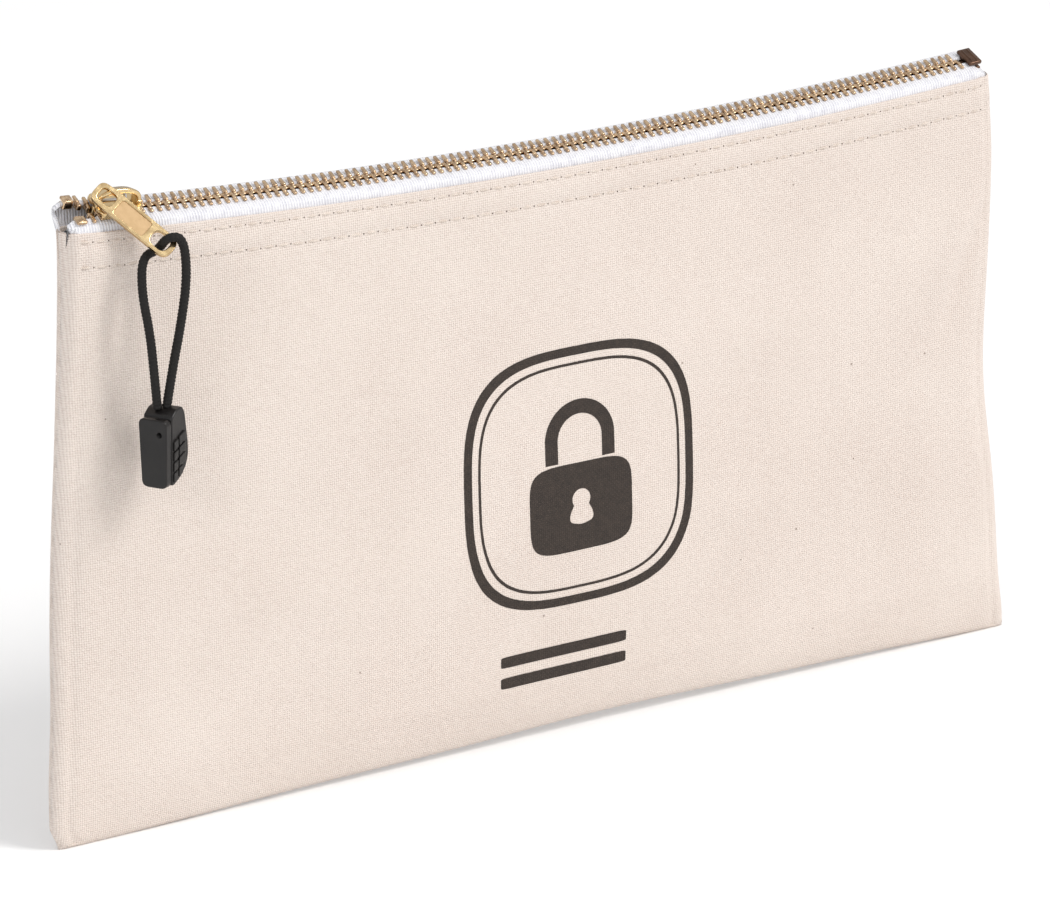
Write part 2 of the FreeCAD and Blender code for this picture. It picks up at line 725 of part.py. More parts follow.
os.makedirs("parts", exist_ok=True)
sub_parts = [front_panel, rear_panel] + seams + tapes + rows + stops + slider + pull + stitching
for item in sub_parts:
    shape = item.Shape
    if shape.isNull() or not shape.isValid():
        raise RuntimeError(f"{item.Label} has no valid shape")
    shape.exportStep(f"parts/{item.Label}.step")
    box_of = shape.BoundBox
    print(f"{item.Label:26s} solids {len(shape.Solids):3d}  volume {shape.Volume:9.1f}"
          f"  z {box_of.ZMin:7.2f} to {box_of.ZMax:7.2f}  y {box_of.YMin:6.2f} to {box_of.YMax:6.2f}")
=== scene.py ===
import json
import math
import random

import bmesh
import bpy
from mathutils import Matrix, Vector, noise


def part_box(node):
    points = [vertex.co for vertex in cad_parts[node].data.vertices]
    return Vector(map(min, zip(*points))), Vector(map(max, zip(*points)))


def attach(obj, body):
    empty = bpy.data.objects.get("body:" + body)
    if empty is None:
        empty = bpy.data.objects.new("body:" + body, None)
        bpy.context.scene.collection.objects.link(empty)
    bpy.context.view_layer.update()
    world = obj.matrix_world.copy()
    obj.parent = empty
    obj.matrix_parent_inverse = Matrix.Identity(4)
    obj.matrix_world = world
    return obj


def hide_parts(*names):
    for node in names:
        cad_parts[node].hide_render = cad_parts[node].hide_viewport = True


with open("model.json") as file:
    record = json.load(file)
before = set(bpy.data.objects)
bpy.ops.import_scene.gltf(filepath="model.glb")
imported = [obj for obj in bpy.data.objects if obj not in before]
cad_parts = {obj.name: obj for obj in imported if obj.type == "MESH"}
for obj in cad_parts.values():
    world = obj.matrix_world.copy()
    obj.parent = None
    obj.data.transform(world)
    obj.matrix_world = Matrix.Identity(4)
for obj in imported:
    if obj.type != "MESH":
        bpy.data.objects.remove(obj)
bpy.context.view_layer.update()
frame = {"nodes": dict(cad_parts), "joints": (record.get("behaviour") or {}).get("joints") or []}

MM = 0.001
rng = random.Random(7)

# ---------------------------------------------------------------- places read from the frame
_, FRONT_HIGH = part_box("front_panel")
TRAVEL = next(joint for joint in frame["joints"] if joint["name"] == "slider_travel")
HALF_FOOT = FRONT_HIGH.x                      # half the bag's length at its foot
TOP_INSET = 7.0 * MM                          # how far each side leans in towards the zip
BAG_HEIGHT = 178.0 * MM
ARC_TOP = TRAVEL["pos_m"][2]                  # height of the far axis the zip hangs about
CHAIN_LOW = 171.6 * MM                        # the chain's height at the middle of its sag
ARC_RADIUS = ARC_TOP - CHAIN_LOW
HEM_DROP = 4.6 * MM
CLOTH = 0.9 * MM
SEAM_HALF = 1.2 * MM
STITCH_PITCH, STITCH_LONG = 4.5 * MM, 3.5 * MM
ROWS_DOWN = (2.0 * MM, 8.9 * MM)              # the hem's two stitch rows, down from its edge
SEAM_PITCH, SEAM_STITCH = 4.3, 3.1            # the hidden seams' stitches, in millimetres
FLAT = 0.9995                                 # how nearly a face looks along a way to be shaded flat


def arc_height(x, drop=0.0):
    """Height at x of a line that lies `drop` below the zip's arc."""
    return ARC_TOP - math.sqrt((ARC_RADIUS + drop) ** 2 - x * x)


def smooth(value, low=0.0, high=1.0):
    part = min(max((value - low) / (high - low), 0.0), 1.0)
    return part * part * (3 - 2 * part)


def mix(first, second, part):
    return first + (second - first) * part


# ---------------------------------------------------------------- mesh helpers
def add_object(name, data):
    made = bpy.data.objects.new(name, data)
    bpy.context.scene.collection.objects.link(made)
    return made


def evaluated_mesh(item):
    bpy.context.view_layer.update()
    graph = bpy.context.evaluated_depsgraph_get()
    return bpy.data.meshes.new_from_object(item.evaluated_get(graph), depsgraph=graph)


def new_piece(name, points, faces, material, smooth_faces=True):
    mesh = bpy.data.meshes.new(name)
    mesh.from_pydata([tuple(point) for point in points], [], faces)
    mesh.update()
    mesh.materials.append(material)
    if smooth_faces:
        mesh.polygons.foreach_set("use_smooth", [True] * len(mesh.polygons))
    return add_object(name, mesh)


def apply_modifiers(piece):
    mesh = evaluated_mesh(piece)
    piece.modifiers.clear()
    piece.data = mesh
    return piece


def solidify(piece, thick, offset=-1.0):
    modifier = piece.modifiers.new("thick", "SOLIDIFY")
    modifier.thickness = thick
    modifier.offset = offset
    modifier.use_even_offset = False
    return apply_modifiers(piece)


def outward(piece):
    made = bmesh.new()
    made.from_mesh(piece.data)
    bmesh.ops.recalc_face_normals(made, faces=made.faces)
    made.to_mesh(piece.data)
    made.free()
    return piece


def grid_faces(across, along, wrap=False, base=0):
    faces = []
    for row in range(along - 1):
        for place in range(across if wrap else across - 1):
            following = (place + 1) % across
            a, b = base + row * across + place, base + row * across + following
            faces.append((a, b, b + across, a + across))
    return faces


def tube_faces(ring, count, base=0):
    """The faces of a tube of `count` rings, closed at both ends."""
    faces = grid_faces(ring, count, wrap=True, base=base)
    faces.append(tuple(reversed(range(base, base + ring))))
    faces.append(tuple(range(base + (count - 1) * ring, base + count * ring)))
    return faces


def joined(name, parts):
    """Several pieces made into one, keeping each one's material."""
    made = bmesh.new()
    materials = []
    for part in parts:
        first = len(made.faces)
        start = bmesh.new()
        start.from_mesh(part.data)
        start.transform(part.matrix_world)
        slots = []
        for material in part.data.materials:
            if material not in materials:
                materials.append(material)
            slots.append(materials.index(material))
        for face in start.faces:
            face.material_index = slots[face.material_index]
        whole = bpy.data.meshes.new("part")
        start.to_mesh(whole)
        start.free()
        made.from_mesh(whole)
        bpy.data.meshes.remove(whole)
        made.faces.ensure_lookup_table()
        for face in made.faces[first:]:
            face.smooth = True
    mesh = bpy.data.meshes.new(name)
    made.to_mesh(mesh)
    made.free()
    for material in materials:
        mesh.materials.append(material)
    for part in parts:
        bpy.data.objects.remove(part)
    return add_object(name, mesh)


def crisp(piece, flat_ways):
    """Smooth shading, but flat on the faces that look along one of the given ways."""
    for face in piece.data.polygons:
        face.use_smooth = all(abs(face.normal.dot(way)) < limit for way, limit in flat_ways)
    return piece


def plate(name, outlines, low, high, edge, metal, matrix=Matrix.Identity(4), steps=3):
    """A plate cut to closed outlines in XY, holes included, with rounded edges; heights in millimetres."""
    low, high, edge = (value * MM for value in (low, high, edge))
    curve = bpy.data.curves.new(name, "CURVE")
    curve.dimensions = "2D"
    curve.fill_mode = "BOTH"
    for outline in outlines:
        spline = curve.splines.new("POLY")
        spline.points.add(len(outline) - 1)
        for point, (x, y) in zip(spline.points, outline):
            point.co = (x, y, 0, 1)
        spline.use_cyclic_u = True
    curve.extrude = (high - low) / 2 - edge
    curve.bevel_depth = edge
    curve.bevel_resolution = steps
    curve.offset = -edge
    flat = add_object(name, curve)
    mesh = evaluated_mesh(flat)
    bpy.data.objects.remove(flat)
    mesh.transform(Matrix.Translation((0, 0, (low + high) / 2)))
    mesh.transform(matrix)
    mesh.materials.clear()
    mesh.materials.append(metal)
    made = bmesh.new()
    made.from_mesh(mesh)
    bmesh.ops.remove_doubles(made, verts=made.verts, dist=1e-6)
    bmesh.ops.recalc_face_normals(made, faces=made.faces)
    made.to_mesh(mesh)
    made.free()
    return crisp(add_object(name, mesh), [(matrix.col[2].xyz, FLAT)])


def rounded_box(made, low, high, radius, matrix=Matrix.Identity(4), segments=2):
    """Adds a box with rounded edges to a bmesh; its sizes are in millimetres."""
    start = len(made.verts)
    low, high = ([value * MM for value in corner] for corner in (low, high))
    result = bmesh.ops.create_cube(made, size=1.0)
    middle = (Vector(low) + Vector(high)) / 2
    extent = Vector(high) - Vector(low)
    for vertex in result["verts"]:
        vertex.co = middle + Vector((vertex.co.x * extent.x, vertex.co.y * extent.y, vertex.co.z * extent.z))
    edges = {edge for vertex in result["verts"] for edge in vertex.link_edges}
    bmesh.ops.bevel(
        made, geom=list(edges), offset=radius * MM, segments=segments, profile=0.5, affect="EDGES",
    )
    made.verts.ensure_lookup_table()
    for vertex in made.verts[start:]:
        vertex.co = matrix @ vertex.co


def from_bmesh(name, made, metal):
    for face in made.faces:
        face.smooth = True
    mesh = bpy.data.meshes.new(name)
    made.to_mesh(mesh)
    made.free()
    mesh.materials.append(metal)
    return add_object(name, mesh)


def swept(name, line, section, side, metal):
    """A closed section carried along a line; its first axis lies along `side`."""
    points = []
    ring = len(section)
    side = Vector(side)
    for place, centre in enumerate(line):
        along = (line[min(place + 1, len(line) - 1)] - line[max(place - 1, 0)]).normalized()
        up = along.cross(side).normalized()
        for a, b in section:
            points.append(centre + side * a + up * b)
    return outward(new_piece(name, points, tube_faces(ring, len(line)), metal))


def placed(x_axis, z_axis, origin):
    """A matrix whose local X runs along one way and whose local Z is nearest another."""
    along = Vector(x_axis).normalized()
    side = Vector(z_axis).cross(along).normalized()
    up = along.cross(side).normalized()
    turn = Matrix((along, side, up)).transposed().to_4x4()
    return Matrix.Translation(Vector(origin)) @ turn


def rounded_outline(corners, radius, steps=8):
    """An outline with each corner rounded to a radius, given in millimetres."""
    points, radius = [(x * MM, y * MM) for x, y in corners], radius * MM
    rounded = []
    count = len(points)
    for place in range(count):
        corner = Vector(points[place])
        before = Vector(points[place - 1]) - corner
        after = Vector(points[(place + 1) % count]) - corner
        reach = min(radius, 0.48 * before.length, 0.48 * after.length)
        start, end = corner + before.normalized() * reach, corner + after.normalized() * reach
        for step in range(steps + 1):
            part = step / steps
            point = start.lerp(corner, part).lerp(corner.lerp(end, part), part)
            rounded.append((point.x, point.y))
    return rounded


# ---------------------------------------------------------------- materials
def material(name, colour, roughness=0.5, metallic=0.0):
    made = bpy.data.materials.new(name)
    made.use_nodes = True
    shader = made.node_tree.nodes["Principled BSDF"]
    shader.inputs["Base Color"].default_value = (*colour, 1)
    shader.inputs["Roughness"].default_value = roughness
    shader.inputs["Metallic"].default_value = metallic
    return made, made.node_tree, shader


def node(tree, kind, **inputs):
    made = tree.nodes.new(kind)
    for name, value in inputs.items():
        socket = made.inputs[int(name[1:])] if name[0] == "i" and name[1:].isdigit() else made.inputs[name]
        if hasattr(value, "is_output"):
            tree.links.new(value, socket)
        else:
            socket.default_value = value
    return made


def maths(tree, operation, first, second=0.0):
    made = tree.nodes.new("ShaderNodeMath")
    made.operation = operation
    for socket, value in zip(made.inputs, (first, second)):
        if hasattr(value, "is_output"):
            tree.links.new(value, socket)
        else:
            socket.default_value = value
    return made.outputs[0]


def times(tree, first, second):
    return maths(tree, "MULTIPLY", first, second)


def plus(tree, first, second):
    return maths(tree, "ADD", first, second)


def object_axes(tree):
    """A place on the piece in its own coordinates, and its three components."""
    place = tree.nodes.new("ShaderNodeTexCoord")
    split = tree.nodes.new("ShaderNodeSeparateXYZ")
    tree.links.new(place.outputs["Object"], split.inputs[0])
    return place.outputs["Object"], split.outputs


def noise_of(tree, vector, scale, detail=2.0, roughness=0.5):
    made = node(tree, "ShaderNodeTexNoise", Vector=vector, Scale=scale, Detail=detail, Roughness=roughness)
    return made.outputs["Fac"]


def ramp(tree, factor, stops):
    made = tree.nodes.new("ShaderNodeValToRGB")
    tree.links.new(factor, made.inputs[0])
    elements = made.color_ramp.elements
    while len(elements) < len(stops):
        elements.new(0.5)
    for element, (place, colour) in zip(elements, stops):
        element.position = place
        element.color = (*colour, 1)
    return made.outputs[0]


def paint(tree, shader, factor, stops):
    tree.links.new(ramp(tree, factor, stops), shader.inputs["Base Color"])


def bump(tree, shader, height, distance, strength):
    made = node(tree, "ShaderNodeBump", Height=height, Distance=distance, Strength=strength)
    tree.links.new(made.outputs[0], shader.inputs["Normal"])


THREAD = 0.66 * MM


def weave_height(tree, vector, across, up, thread=THREAD):
    """Plain weave: warp and weft threads that cross over and under by turns."""
    wander = times(tree, noise_of(tree, vector, 260.0), 0.35 * thread)
    u = times(tree, plus(tree, across, wander), math.pi / thread)
    v = times(tree, plus(tree, up, wander), math.pi / thread)
    sine_u, sine_v = maths(tree, "SINE", u), maths(tree, "SINE", v)
    over = times(tree, sine_u, sine_v)
    warp = maths(tree, "ABSOLUTE", sine_u)
    weft = maths(tree, "ABSOLUTE", sine_v)
    threads = plus(tree, warp, weft)
    return plus(tree, times(tree, threads, 0.46), times(tree, over, 0.20))


def canvas_material(name, light, shade, seeds=True):
    made, tree, shader = material(name, light, 0.92)
    vector, axes = object_axes(tree)
    height = weave_height(tree, vector, axes["X"], axes["Z"])
    slubs = noise_of(tree, vector, 900.0, 3.0)
    broad = noise_of(tree, vector, 22.0, 3.0)
    # painted shade: the weave's low places between the threads are darker; slubs and broad noise add random
    # tone
    relief_shade_and_tone = plus(tree, times(tree, height, 0.42), times(tree, slubs, 0.30))
    relief_shade_and_tone = plus(tree, relief_shade_and_tone, times(tree, broad, 0.25))
    colour = ramp(tree, relief_shade_and_tone, ((0.12, shade), (0.62, light)))
    if seeds:
        cells = tree.nodes.new("ShaderNodeTexVoronoi")
        cells.inputs["Scale"].default_value = 150.0
        tree.links.new(vector, cells.inputs["Vector"])
        split = node(tree, "ShaderNodeSeparateColor", i0=cells.outputs["Color"])
        picked = maths(tree, "GREATER_THAN", split.outputs[0], 0.86)
        near = maths(tree, "LESS_THAN", cells.outputs["Distance"], 0.055)
        fleck = times(tree, times(tree, picked, near), 0.62)
        blended = tree.nodes.new("ShaderNodeMix")
        blended.data_type = "RGBA"
        tree.links.new(fleck, blended.inputs[0])
        tree.links.new(colour, blended.inputs[6])
        blended.inputs[7].default_value = (0.16, 0.10, 0.07, 1)
        colour = blended.outputs[2]
    tree.links.new(colour, shader.inputs["Base Color"])
    rough = plus(tree, times(tree, slubs, 0.12), 0.84)
    tree.links.new(rough, shader.inputs["Roughness"])
    shader.inputs["Sheen Weight"].default_value = 0.18
    shader.inputs["Sheen Roughness"].default_value = 0.6
    shader.inputs["Specular IOR Level"].default_value = 0.2
    whole = plus(tree, height, times(tree, slubs, 0.5))
    bump(tree, shader, whole, 0.22 * MM, 0.9)
    return made


def ink_material():
    made, tree, shader = material("printed_ink", (0.03, 0.02, 0.015), 0.75)
    vector, axes = object_axes(tree)
    height = weave_height(tree, vector, axes["X"], axes["Z"])
    # painted light on the weave's raised threads and painted shade between them, with random wear from noise
    relief_light_and_wear = plus(tree, times(tree, height, 0.35), times(tree, noise_of(tree, vector, 700.0), 0.5))
    paint(tree, shader, relief_light_and_wear, ((0.15, (0.012, 0.008, 0.006)), (0.8, (0.055, 0.038, 0.028))))
    bump(tree, shader, height, 0.15 * MM, 0.8)
    return made


def tape_material():
    made, tree, shader = material("white_zip_tape", (0.86, 0.87, 0.9), 0.8)
    vector, axes = object_axes(tree)
    ribs = maths(tree, "SINE", times(tree, axes["X"], 2 * math.pi / (0.85 * MM)))
    fine = maths(tree, "SINE", times(tree, axes["Y"], 2 * math.pi / (0.5 * MM)))
    height = plus(tree, ribs, times(tree, fine, 0.35))
    # painted shade in the rib grooves, with random tone from noise
    relief_shade_and_tone = plus(tree, times(tree, height, 0.2), noise_of(tree, vector, 500.0))
    paint(tree, shader, relief_shade_and_tone, ((0.1, (0.66, 0.66, 0.72)), (0.65, (0.90, 0.90, 0.93))))
    shader.inputs["Sheen Weight"].default_value = 0.2
    bump(tree, shader, height, 0.12 * MM, 0.8)
    return made


def metal_material(name, light, dark, roughness, wear=0.3):
    made, tree, shader = material(name, light, roughness, 1.0)
    vector = object_axes(tree)[0]
    blotch = noise_of(tree, vector, 520.0, 4.0, 0.6)
    fine = noise_of(tree, vector, 2600.0, 2.0)
    paint(tree, shader, blotch, ((0.5 - wear, dark), (0.5 + wear * 0.5, light)))
    rough = plus(tree, times(tree, blotch, 0.22), roughness - 0.1)
    tree.links.new(rough, shader.inputs["Roughness"])
    bump(tree, shader, fine, 0.03 * MM, 0.5)
    return made


def cord_material():
    made, tree, shader = material("black_braid", (0.008, 0.007, 0.007), 0.7)
    vector = object_axes(tree)[0]
    fibres = noise_of(tree, vector, 3800.0, 3.0)
    paint(tree, shader, fibres, ((0.3, (0.003, 0.003, 0.003)), (0.8, (0.020, 0.017, 0.015))))
    shader.inputs["Specular IOR Level"].default_value = 0.3
    bump(tree, shader, fibres, 0.06 * MM, 0.6)
    return made


def plastic_material():
    made, tree, shader = material("black_moulded_plastic", (0.016, 0.016, 0.018), 0.38)
    vector = object_axes(tree)[0]
    grain = noise_of(tree, vector, 2400.0, 3.0)
    smear = noise_of(tree, vector, 160.0, 2.0)
    paint(tree, shader, smear, ((0.3, (0.007, 0.006, 0.006)), (0.75, (0.016, 0.014, 0.013))))
    tree.links.new(plus(tree, times(tree, smear, 0.22), 0.20), shader.inputs["Roughness"])
    shader.inputs["Specular IOR Level"].default_value = 0.35
    bump(tree, shader, grain, 0.03 * MM, 0.5)
    return made


def thread_material():
    made, tree, shader = material("cotton_thread", (0.80, 0.68, 0.54), 0.85)
    vector, axes = object_axes(tree)
    turns = maths(tree, "SINE", times(tree, plus(tree, axes["X"], axes["Z"]), 2 * math.pi / (0.5 * MM)))
    # painted shade in the twist's grooves, with random tone from noise
    relief_shade_and_tone = plus(tree, times(tree, turns, 0.3), noise_of(tree, vector, 900.0))
    paint(tree, shader, relief_shade_and_tone, ((0.1, (0.66, 0.55, 0.47)), (0.8, (0.88, 0.79, 0.71))))
    bump(tree, shader, turns, 0.08 * MM, 0.8)
    return made


CANVAS = canvas_material("natural_canvas", (0.80, 0.715, 0.65), (0.55, 0.43, 0.37))
# a slightly darker copy of the canvas: painted shade along the rolled seam edges
SHADED_SEAM_CANVAS = canvas_material("seam_canvas_painted_shade", (0.77, 0.68, 0.61), (0.54, 0.43, 0.36), seeds=False)
INK = ink_material()
TAPE = tape_material()
TEETH_BRASS = metal_material("antique_brass", (0.74, 0.55, 0.36), (0.28, 0.17, 0.10), 0.22)
STOP_BRASS = metal_material("dark_brass", (0.16, 0.095, 0.065), (0.07, 0.04, 0.03), 0.35)
GOLD = metal_material("polished_brass", (0.82, 0.63, 0.35), (0.55, 0.37, 0.18), 0.20, 0.40)
# a darker copy of the polished brass for the tab's recess: painted shade in the hollow, with a rougher satin
# finish
SHADED_RECESS_GOLD = metal_material("satin_brass_painted_shade", (0.50, 0.35, 0.20), (0.40, 0.27, 0.14), 0.42, 0.4)
STEEL = metal_material("spring_steel", (0.62, 0.62, 0.62), (0.42, 0.42, 0.43), 0.3)
BRAID = cord_material()
PLASTIC = plastic_material()
COTTON = thread_material()
# dark dots where the stitches dive into the cloth: painted shade in the needle holes
NEEDLE_HOLE_SHADE = canvas_material("needle_hole_painted_shade", (0.20, 0.15, 0.12), (0.08, 0.06, 0.05), seeds=False)


# ---------------------------------------------------------------- camera, floor and light
def make_camera():
    data = bpy.data.cameras.new("camera")
    camera = add_object("camera", data)
    yaw, pitch, roll = math.radians(30.92), math.radians(17.36), math.radians(-1.54)
    camera.location = (-0.7082, -1.1698, 0.5119)
    ahead = Vector((math.sin(yaw) * math.cos(pitch), math.cos(yaw) * math.cos(pitch), -math.sin(pitch)))
    right = ahead.cross(Vector((0, 0, 1))).normalized()
    up = right.cross(ahead)
    right, up = (right * math.cos(roll) + up * math.sin(roll), up * math.cos(roll) - right * math.sin(roll))
    turn = Matrix((right, up, -ahead)).transposed().to_4x4()
    camera.matrix_world = Matrix.Translation(camera.location) @ turn
    data.sensor_width = 36.0
    data.lens = 5078.0 / 1050 * 36.0
    data.dof.use_dof = False
    data.clip_end = 20
    bpy.context.scene.camera = camera


def add_light(name, kind, aim, strength, colour, place=(0, 0, 0)):
    data = bpy.data.lights.new(name, kind)
    data.energy, data.color = strength, colour
    light = add_object(name, data)
    light.location = place
    light.rotation_mode = "QUATERNION"
    light.rotation_quaternion = Vector(aim).to_track_quat("-Z", "Y")
    return data


def make_studio():
    made, tree, shader = material("pale_floor", (0.97, 0.97, 0.97), 0.9)
    vector = object_axes(tree)[0]
    pale, paler = (0.965, 0.965, 0.965), (0.98, 0.98, 0.98)
    paint(tree, shader, noise_of(tree, vector, 3.0), ((0.2, pale), (0.8, paler)))
    reach = 6.0
    floor = new_piece(
        "floor", [(-reach, -reach, 0), (reach, -reach, 0), (reach, reach, 0), (-reach, reach, 0)],
        [(0, 1, 2, 3)], made, smooth_faces=False,
    )
    sun = add_light("key", "SUN", (-0.60, 0.74, -0.90), 1.35, (1.0, 0.985, 0.97))
    sun.angle = math.radians(20.0)
    aim = Vector((0, 0, 0.1))
    for name, place, size, watts, colour in (
        ("strip", (0.9, -1.3, 0.9), 0.35, 4.0, (1.0, 0.98, 0.95)),
        ("side", (-1.2, -0.6, 0.8), 0.5, 3.0, (0.97, 0.98, 1.0)),
    ):
        lamp = add_light(name, "AREA", aim - Vector(place), watts, colour, place)
        lamp.shape, lamp.size = "DISK", size
    world = bpy.data.worlds.new("studio")
    world.use_nodes = True
    tree = world.node_tree
    place = tree.nodes.new("ShaderNodeTexCoord")
    split = tree.nodes.new("ShaderNodeSeparateXYZ")
    tree.links.new(place.outputs["Generated"], split.inputs[0])
    sky = ramp(tree, split.outputs["Z"], (
        (0.0, (0.35, 0.35, 0.36)), (0.3, (0.80, 0.80, 0.81)), (1.0, (1.0, 1.0, 1.0)),
    ))
    tree.links.new(sky, tree.nodes["Background"].inputs[0])
    tree.nodes["Background"].inputs[1].default_value = 0.80
    bpy.context.scene.world = world
    bpy.context.scene.view_settings.view_transform = "Standard"


make_camera()
make_studio()


# ---------------------------------------------------------------- the canvas
# Each level of a panel: height, run of the turned corner, depth at the corner and at the middle.
LEVELS = (
    (0.0, 3.0, 2.0, 2.3),
    (18.0, 8.0, 4.4, 6.3),
    (60.0, 14.0, 5.4, 9.4),
    (110.0, 12.0, 5.8, 9.2),
    (150.0, 6.0, 6.4, 7.5),
    (181.0, 4.2, 6.6, 6.8),
)


def level_at(z):
    """Run of the corner, depth at the corner and depth at the middle, at a height."""
    height = min(max(z / MM, 0.0), 181.0)
    for low, high in zip(LEVELS, LEVELS[1:]):
        if height <= high[0]:
            part = (height - low[0]) / (high[0] - low[0])
            return [mix(a, b, part) * MM for a, b in zip(low[1:], high[1:])]
    return [value * MM for value in LEVELS[-1][1:]]


def side_edge(z, side):
    """Where the bag's side lies at a height: leaning in, and drawn in a little where it is slack."""
    edge = HALF_FOOT - TOP_INSET * z / BAG_HEIGHT
    part = z / BAG_HEIGHT
    if side > 0:
        slack = 3.4 * math.exp(-((part - 0.46) / 0.17) ** 2) + 0.4 * math.exp(-((part - 0.15) / 0.12) ** 2)
        slack -= 1.2 * math.exp(-((part - 0.84) / 0.14) ** 2)
        return edge - (slack + 1.2 * smooth(part, 0.0, 0.12)) * MM
    bulge = 2.3 * smooth(part, 0.0, 0.04) - 1.3 * smooth(part, 0.04, 0.25) - 4.5 * smooth(part, 0.28, 0.95)
    return -(edge + bulge * MM)


def foot_line(x):
    """The bottom seam lifts a little between the corners, which stand on the floor."""
    part = x / HALF_FOOT
    calm = max(1 - part * part, 0.0)
    lift = 2.9 * calm ** 1.6 * (1 + 0.45 * part) + 0.30 * math.sin(9.0 * part + 0.6) * calm
    return max(lift, 0.0) * MM


def wrinkle(x, z, side):
    """Slack and handling marks in the cloth, outwards."""
    u, v = x / MM, z / MM
    turn = 31.0 * side
    soft = noise.noise(Vector((u / 62 + turn, v / 58, 3.1))) * 0.75
    soft += noise.noise(Vector((u / 27 + turn, v / 30, 9.4))) * 0.28
    fine = noise.noise(Vector((u / 9 + turn, v / 11, 5.5))) * 0.06
    # a soft diagonal fold runs from the right edge down towards the middle
    fold = 0.0
    if side < 0:
        along = (u - 146) * 0.42 + (v - 128) * 0.91
        away = (u - 146) * 0.91 - (v - 128) * 0.42
        fold = -1.5 * math.exp(-(away / 3.6) ** 2) * smooth(along, -44, -8) * smooth(-along, -22, 4)
        fold += 0.9 * math.exp(-((away + 6.5) / 4.5) ** 2) * smooth(along, -44, -8) * smooth(-along, -22, 4)
        low = (u + 118) * 0.75 + (v - 22) * 0.66
        fold += 0.7 * math.exp(-(((u + 118) * 0.66 - (v - 22) * 0.75) / 7) ** 2) * math.exp(-(low / 26) ** 2)
    else:
        away = (u - 90) * 0.8 + (v - 60) * 0.6
        fold += 0.8 * math.exp(-(away / 6) ** 2) * math.exp(-((u - 90) / 30) ** 2)
        away = (u + 80) * 0.7 - (v - 90) * 0.7
        fold += 0.6 * math.exp(-(away / 6) ** 2) * math.exp(-((u + 80) / 32) ** 2)
    return (soft + fine + fold) * MM


def row_groove(x, z):
    """The hem's two stitch rows pull the cloth in, and it swells a little between them."""
    down = (arc_height(x, HEM_DROP) - z) / MM
    pucker = 1 + 0.35 * math.cos(2 * math.pi * x / STITCH_PITCH)
    groove = 0.26 * pucker * sum(math.exp(-((down - row / MM) / 0.75) ** 2) for row in ROWS_DOWN)
    swell = 0.32 * math.exp(-((down - 5.4) / 2.6) ** 2)
    return (swell - groove) * MM


def panel_depth(x, z, side):
    """How far a panel's outer face stands from the bag's middle plane."""
    run, corner, middle = level_at(z)
    edge = side_edge(z, math.copysign(1, x))
    if side > 0:
        run += 5 * MM * smooth(z, 120 * MM, 165 * MM)
        if x < 0:
            corner += 1.3 * MM * smooth(z, 4 * MM, 30 * MM) * (1 - smooth(z, 70 * MM, 120 * MM))
    inside = max(abs(edge) - abs(x), 0.0)
    half = max(abs(edge) - run, MM)
    across = min(abs(x) / half, 1.0)
    belly = corner + (middle - corner) * (1 - across * across)
    turn = min(inside / run, 1.0)
    round_off = (1 - (1 - turn) ** 2.1) ** 0.5
    depth = SEAM_HALF * 0.35 + (belly - SEAM_HALF * 0.35) * round_off
    lift = foot_line(x)
    above = max(z - lift, 0.0)
    rounded = (1 - (1 - min(above / (9 * MM), 1.0)) ** 2.2) ** 0.5
    depth *= mix(0.30, 1.0, rounded)
    calm = smooth(inside, 0, 7 * MM) * smooth(above, 0, 14 * MM)
    calm *= 1 - 0.75 * smooth(z, arc_height(x, HEM_DROP + 16 * MM), arc_height(x, HEM_DROP + 3 * MM))
    crease = -0.55 * MM * math.exp(-((inside - 4.4 * MM) / (1.0 * MM)) ** 2)
    return depth + wrinkle(x, z, side) * calm + row_groove(x, z) * smooth(inside, 0, 3 * MM) + crease


def canvas_panel(name, side):
    """One panel as a thin shell: its outer face, rolled over at the hem and down inside."""
    across, along = 300, 150
    points = []
    for row in range(along):
        part = row / (along - 1)
        for place in range(across):
            share = place / (across - 1) * 2 - 1
            share = math.copysign(1 - (1 - abs(share)) ** 1.12, share)
            # one pass for the side's place at this height, from a first guess of the height
            guess = mix(0.0, arc_height(share * HALF_FOOT * 0.96, HEM_DROP), part)
            x = abs(side_edge(guess, share)) * share
            foot, head = foot_line(x), arc_height(x, HEM_DROP)
            z = mix(foot, head, part)
            points.append((x, side * panel_depth(x, z, side), z))
    # the fold at the mouth: round over a small radius, then down inside as the hem's turn
    top = points[-across:]
    fold_steps, radius = 6, 0.55 * MM
    for step in range(1, fold_steps + 1):
        angle = math.pi * step / fold_steps
        for x, y, z in top:
            depth = abs(y) - radius * (1 - math.cos(angle))
            points.append((x, side * max(depth, 0.4 * MM), z + radius * math.sin(angle) * 0.8))
    fold = points[-across:]
    for step in range(1, 7):
        for x, y, z in fold:
            points.append((x, y, z - step * 1.8 * MM))
    faces = grid_faces(across, along + fold_steps + 6)
    piece = new_piece(name, points, faces, CANVAS)
    outward(piece)
    if (piece.data.polygons[across * 40 + 150].normal.y > 0) != (side > 0):
        piece.data.flip_normals()
    return solidify(piece, CLOTH * 0.6)


